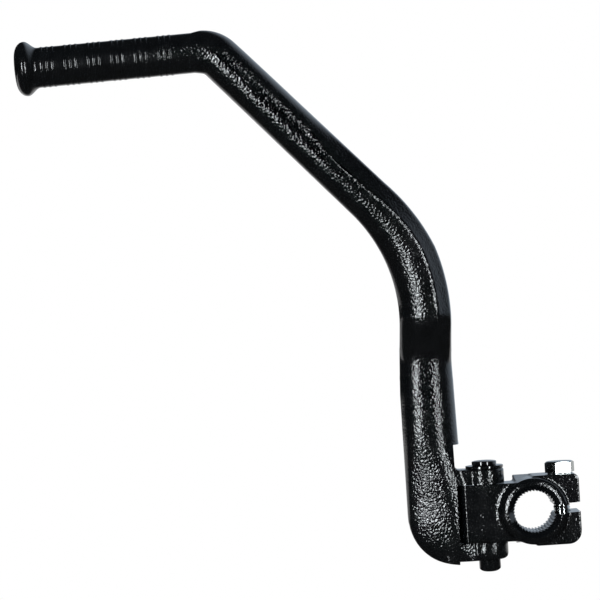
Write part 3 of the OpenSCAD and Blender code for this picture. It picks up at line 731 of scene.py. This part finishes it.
# clamp lugs, and the drafted heel behind the ring
def lugParts():
    reach, top, front = boss["lugReach"], boss["lugH"] / 2, boss["lugBack"] - boss["lugT"] / 2
    upper, lower = boss["upperR"], boss["lowerR"]
    outline = [(0, -top)] + arcPoints(reach - lower, -top + lower, lower, -90, 0)
    outline += arcPoints(reach - upper, top - upper, upper, 0, 90) + [(0, top)]
    lugs = prism("lugs", outline, front, front + boss["lugT"])
    drop = boss["lugT"] * math.tan(math.radians(boss["heelDraft"]))
    heelTop = top - boss["heelSink"]
    corners = [(front, heelTop - drop), (front + boss["lugT"], heelTop)]
    section = corners + [(y, -z) for y, z in reversed(corners)]
    points = [(x, y, z) for x in (-boss["heelReach"], 1) for y, z in section]
    faces = [[0, 1, 2, 3], [7, 6, 5, 4], [0, 4, 5, 1], [1, 5, 6, 2], [2, 6, 7, 3], [3, 7, 4, 0]]
    return [lugs, outwardFaces(newObject("heel", points, faces))]


# the tongue is round in front, so that the lever swings out, and square behind as its stop
def tongueParts():
    pivot, tall, neck, r = -fork["pivot"], boss["tongueH"] / 2, boss["neckT"] / 2, boss["tongueR"]
    tongue = cylinder("tongue", r, -tall, tall, pivotPlace)
    combined(tongue, block("slab", (-1.5 * beyond, -neck, -beyond), (0, neck, beyond)), "INTERSECT")
    stop = block("stop", (pivot - r, 0, -tall), (pivot, neck, tall))
    return [tongue, stop, block("neck", (pivot, -neck, -tall), (0, neck, tall))]


def buildBoss():
    parts = ringParts() + lugParts() + tongueParts()
    obj = forged("shaftBoss", parts, grid=0.4, softness=5, wave=9, rise=0.03)
    paint(obj, [enamelForged, enamelMachined])
    print("boss forged", len(obj.data.polygons))

    r, halfL = boss["boreR"], boss["ringL"] / 2
    deep = boss["mouth"] + boss["grooveDepth"]
    machined(obj, revolve("cutter", [
        (0, -halfL - 1), (r + deep + 1, -halfL - 1), (r, -halfL + deep), (r, halfL - deep),
        (r + deep + 1, halfL + 1), (0, halfL + 1)], axis="Y", steps=240))
    machined(obj, serrations())
    slot = boss["slotW"] / 2
    machined(obj, block("cutter", (0, -beyond, -slot), (beyond, beyond, slot), turn=-boss["slotTilt"]))
    holes = [(boss["boltR"] + boss["boltClear"], 0, beyond, boltPlace),
             (boss["boltR"], -beyond, 1, boltPlace),
             (fork["pinR"] + boss["pinRunning"], -beyond, beyond, pivotPlace)]
    for radius, low, high, place in holes:
        machined(obj, cylinder("cutter", radius, low, high, place, steps=96))
    ballR = fork["ballR"]
    reach = boss["tongueR"] - boss["dimple"] + ballR
    turns = [math.radians(a) for a in range(-84, 85, 6)]
    outline = [(0, -ballR)] + [(ballR * math.cos(a), ballR * math.sin(a)) for a in turns] + [(0, ballR)]
    machined(obj, revolve("cutter", outline, (-fork["pivot"] - reach, 0, 0), steps=64))
    print("boss machined", len(obj.data.polygons))
    return obj


shaftBoss = buildBoss()
finishShading(shaftBoss, 38)


# Pin, washer, bolt, ball and spring

washer = dict(r=8.6, thick=1.3, clear=0.15, edge=0.25)


def buildPin():
    size = dict(proud=5.6, endR=3.4, endRise=2, headR=5.6, headH=1.7, dome=0.7, edge=0.3)
    low, seat = fork["earLow"] - size["proud"], fork["earTop"] + washer["thick"]
    r, top, dome, edge = size["headR"], seat + size["headH"], size["dome"], size["edge"]
    outline = [(0, low)] + roundedEdge(fork["pinR"], low, size["endR"], size["endRise"])
    outline += [(fork["pinR"], seat), (r - edge, seat), (r, seat + edge)]
    turns = [math.radians(a) for a in range(0, 90, 6)]
    outline += [(r * math.cos(a), top + dome * math.sin(a)) for a in turns] + [(0, top + dome)]
    return revolve("pivotPin", outline, pivotPlace)


def buildWasher():
    low, high, hole = fork["earTop"], fork["earTop"] + washer["thick"], fork["pinR"] + washer["clear"]
    r, edge = washer["r"], washer["edge"]
    outline = [(hole, low), (r - edge, low), (r, low + edge), (r, high - edge), (r - edge, high),
               (hole, high), (hole, low)]
    return revolve("pivotWasher", outline, pivotPlace)


def buildBolt():
    size = dict(across=12, headH=5.4, turn=10.5, footIn=0.2, flare=2.5, flareRise=2, crown=0.8,
                crownRise=0.25, crownFace=0.5, face=5.6, faceH=0.4, faceSink=0.2, sunk=0.5, tipIn=0.4,
                tipRise=0.5, root=3.38, threadTop=6, shoulder=1, pitch=1.25, lead=0.6, runOut=0.2,
                bury=0.15)
    seat, low = boss["lugH"] / 2, -boss["lugH"] / 2 + size["sunk"]
    high, under = seat + size["headH"], seat + size["faceH"]
    corner = size["across"] / 2 / math.cos(math.radians(30))
    wide, crown, rise = corner + size["flare"], corner - size["crown"], size["flareRise"]
    head = cylinder("head", corner, under, high, steps=6)
    head.data.transform(Matrix.Rotation(math.radians(size["turn"]), 4, "Z"))
    cone = revolve("cone", [
        (0, seat), (corner - size["footIn"], seat), (wide, seat + rise), (wide, high - rise),
        (crown, high - size["crownRise"]), (crown - size["crownFace"], high), (0, high)])
    combined(head, cone, "INTERSECT")
    root, top, shank, face = size["root"], size["threadTop"], boss["boltR"], size["face"]
    faceTop = under + size["faceSink"]
    obj = revolve("shank", [
        (0, low), (root - size["tipIn"], low), (root, low + size["tipRise"]), (root, top),
        (shank, top + size["shoulder"]), (shank, seat), (face, seat), (face, faceTop), (0, faceTop)])
    combined(obj, head, "UNION")
    obj = joined("pinchBolt", [obj, boltThread(size, low)])
    obj.data.transform(Matrix.Translation(Vector(boltPlace) * mm))
    return obj


# the thread is a helix with a three-sided section, partly sunk into the shank
def boltThread(size, low):
    depth = (boss["boltR"] - size["root"]) / 1.5 + size["bury"]  # such a section is 1.5 radii deep
    start = low + size["lead"]
    height = size["threadTop"] - size["runOut"] - start
    obj = coil("thread", height / size["pitch"], boss["boltR"] - depth, height, depth, 3, zinc)
    obj.data.transform(Matrix.Translation((0, 0, start * mm)))
    return outwardFaces(obj)


def buildSpring():
    size = dict(length=8.5, outer=6.4, wire=0.9, turns=6)
    wireR = size["wire"] / 2
    obj = coil("detentSpring", size["turns"], (size["outer"] - size["wire"]) / 2,
               size["length"] - size["wire"], wireR, 16, steel)
    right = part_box("detent_spring")[1].x - wireR * mm
    turn = Matrix.Rotation(math.radians(-90), 4, "Y")
    obj.data.transform(Matrix.Translation((right, 0, 0)) @ turn)
    return outwardFaces(obj)


pivotPin = buildPin()
pivotWasher = buildWasher()
pinchBolt = buildBolt()
detentSpring = buildSpring()
for obj, degrees, material in ((pivotPin, 35, enamelMachined), (pivotWasher, 30, enamelMachined),
                               (pinchBolt, 25, zinc), (detentSpring, 40, steel)):
    finishShading(obj, degrees)
    paint(obj, [material])
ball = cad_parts["detent_ball"]
ball.data.materials.clear()
ball.data.materials.append(steel)
print("small pieces made")

stands = [
    (kickLever, "kick_lever", "lever", "black_enamel"),
    (shaftBoss, "shaft_boss", "boss", "black_enamel"),
    (pivotPin, "pivot_pin", "lever", "black_enamel"),
    (pivotWasher, "pivot_washer", "lever", "black_enamel"),
    (pinchBolt, "pinch_bolt", "boss", "zinc_steel"),
    (detentSpring, "detent_spring", "lever", "bright_steel")]
for piece, node, body, slot in stands:
    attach(piece, body)
    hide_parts(node)
print("pieces riding")


# Studio. Only the floor's half width and height are in millimetres, and the rest is in metres.

# Paper white. Past the object's shadow the camera sees it as plain white. Gloss sees it nearly black,
# and brighter far behind the object. From below it is clear.
def buildFloor():
    size = dict(half=3000, z=-150, centre=(-0.1, -0.05, 0), whiteFrom=0.12, whiteTo=0.26,
                backFrom=0.3, backTo=0.9, backGain=0.5, dim=0.02)
    half, z = size["half"], size["z"]
    floor = newObject("floor", [(-half, -half, z), (half, -half, z), (half, half, z), (-half, half, z)],
                      [[0, 1, 2, 3]])
    material = bpy.data.materials.new("paleFloor")
    material.use_nodes = True
    tree = material.node_tree
    tree.nodes.clear()
    place = addNode(tree, "ShaderNodeTexCoord").outputs["Object"]
    flat = addNode(tree, "ShaderNodeVectorMath", {0: place, 1: (1, 1, 0)}, operation="MULTIPLY").outputs[0]
    away = addNode(tree, "ShaderNodeVectorMath", {0: flat, 1: size["centre"]}, operation="DISTANCE")
    far = addNode(tree, "ShaderNodeMapRange", {
        "Value": away.outputs["Value"], "From Min": size["whiteFrom"], "From Max": size["whiteTo"]},
        interpolation_type="SMOOTHSTEP").outputs["Result"]
    depth = addNode(tree, "ShaderNodeSeparateXYZ", {0: place}).outputs["Y"]
    behind = addNode(tree, "ShaderNodeMapRange", {
        "Value": depth, "From Min": size["backFrom"], "From Max": size["backTo"]},
        interpolation_type="SMOOTHSTEP").outputs["Result"]
    glow = math2(tree, "ADD", math2(tree, "MULTIPLY", behind, size["backGain"]), size["dim"])
    path = addNode(tree, "ShaderNodeLightPath").outputs
    seen = math2(tree, "MULTIPLY", path["Is Camera Ray"], far)
    white = addNode(tree, "ShaderNodeEmission", {"Color": linear("#ffffff"), "Strength": 1.0})
    paper = addNode(tree, "ShaderNodeBsdfDiffuse", {"Color": linear("#f4f4f4")})
    dim = addNode(tree, "ShaderNodeEmission", {"Color": linear("#ffffff"), "Strength": glow})
    lit = addNode(tree, "ShaderNodeMixShader", {0: seen, 1: paper.outputs[0], 2: white.outputs[0]})
    shown = addNode(tree, "ShaderNodeMixShader", {
        0: path["Is Glossy Ray"], 1: lit.outputs[0], 2: dim.outputs[0]})
    under = addNode(tree, "ShaderNodeNewGeometry").outputs["Backfacing"]
    clear = addNode(tree, "ShaderNodeBsdfTransparent")
    both = addNode(tree, "ShaderNodeMixShader", {0: under, 1: shown.outputs[0], 2: clear.outputs[0]})
    addNode(tree, "ShaderNodeOutputMaterial", {"Surface": both.outputs[0]})
    floor.data.materials.append(material)


# White where the camera looks. Gloss sees a dark room with a cool pale backdrop, to the right and
# behind the object, which leaves the rims that face it grey and the others black.
def buildWorld():
    room = dict(side=(0.7, 0.7, 0.14), dark=0.012, bright=0.7, start=0.5, end=0.9, ambient=0.3)
    world = bpy.data.worlds.new("studio")
    scene.world = world
    world.use_nodes = True
    tree = world.node_tree
    tree.nodes.clear()
    path = addNode(tree, "ShaderNodeLightPath").outputs
    direction = addNode(tree, "ShaderNodeTexCoord").outputs["Generated"]
    toward = addNode(tree, "ShaderNodeVectorMath", {0: direction, 1: Vector(room["side"]).normalized()},
                     operation="DOT_PRODUCT").outputs["Value"]
    back = addNode(tree, "ShaderNodeMapRange", {
        "Value": toward, "From Min": room["start"], "From Max": room["end"], "To Min": room["dark"],
        "To Max": room["bright"]}, interpolation_type="SMOOTHSTEP").outputs["Result"]
    other = addNode(tree, "ShaderNodeMix", {
        "Factor": path["Is Glossy Ray"], "A": room["ambient"], "B": back})
    strength = addNode(tree, "ShaderNodeMix", {
        "Factor": path["Is Camera Ray"], "A": other.outputs["Result"], "B": 1.0})
    tint = addNode(tree, "ShaderNodeMix", {
        "Factor": path["Is Glossy Ray"], "A": linear("#ffffff"), "B": linear("#cbd9e8")},
        data_type="RGBA")
    light = addNode(tree, "ShaderNodeBackground", {
        "Color": tint.outputs["Result"], "Strength": strength.outputs["Result"]})
    addNode(tree, "ShaderNodeOutputWorld", {"Surface": light.outputs[0]})


def addLamp(name, spot, aim, width, height, power):
    data = bpy.data.lights.new(name, "AREA")
    data.shape = "RECTANGLE"
    data.size, data.size_y, data.energy = width, height, power
    lamp = bpy.data.objects.new(name, data)
    lamp.location = Vector(spot)
    lamp.rotation_euler = (Vector(aim) - Vector(spot)).to_track_quat("-Z", "Y").to_euler()
    scene.collection.objects.link(lamp)
    return lamp


# Two tall strip boxes to the left and right of the camera make the highlights. The wide box above
# lights the paper, and gloss doesn't see it.
def buildLight():
    aim = Vector((-0.1, 0, 0.1))
    strips = dict(away=1.15, height=0.95, rise=2, tint=(0.92, 0.97, 1.0))
    pair = [dict(name="leftStrip", degrees=-30, width=0.17, power=7.4),
            dict(name="rightStrip", degrees=31, width=0.11, power=5.0)]
    top = dict(spot=(-0.2, -0.1, 1.5), width=1.2, power=10)
    for lamp in pair:
        a, e = math.radians(lamp["degrees"]), math.radians(strips["rise"])
        way = Vector((math.sin(a) * math.cos(e), -math.cos(a) * math.cos(e), math.sin(e)))
        spot = aim + way * strips["away"]
        strip = addLamp(lamp["name"], spot, aim, lamp["width"], strips["height"], lamp["power"])
        strip.data.color = strips["tint"]
    topBox = addLamp("topBox", top["spot"], aim, top["width"], top["width"], top["power"])
    topBox.visible_glossy = False


# the photograph's view: 1.2 m in front of the object's middle, rolled by 3.5 degrees
def buildCamera():
    view = dict(place=(-0.1, -1.213, 0.1016), roll=3.5, fov=12.84, sensor=36, near=0.01, far=50)
    data = bpy.data.cameras.new("camera")
    data.sensor_width = view["sensor"]
    data.lens = view["sensor"] / 2 / math.tan(math.radians(view["fov"] / 2))
    data.clip_start, data.clip_end = view["near"], view["far"]
    camera = bpy.data.objects.new("camera", data)
    roll = math.radians(view["roll"])
    right = Vector((math.cos(roll), 0, -math.sin(roll)))
    up = Vector((math.sin(roll), 0, math.cos(roll)))
    turn = Matrix((right, up, right.cross(up))).transposed().to_4x4()
    camera.matrix_world = Matrix.Translation(view["place"]) @ turn
    scene.collection.objects.link(camera)
    scene.camera = camera


buildFloor()
buildWorld()
buildLight()
buildCamera()
scene.view_settings.view_transform = "Standard"
print("studio ready")
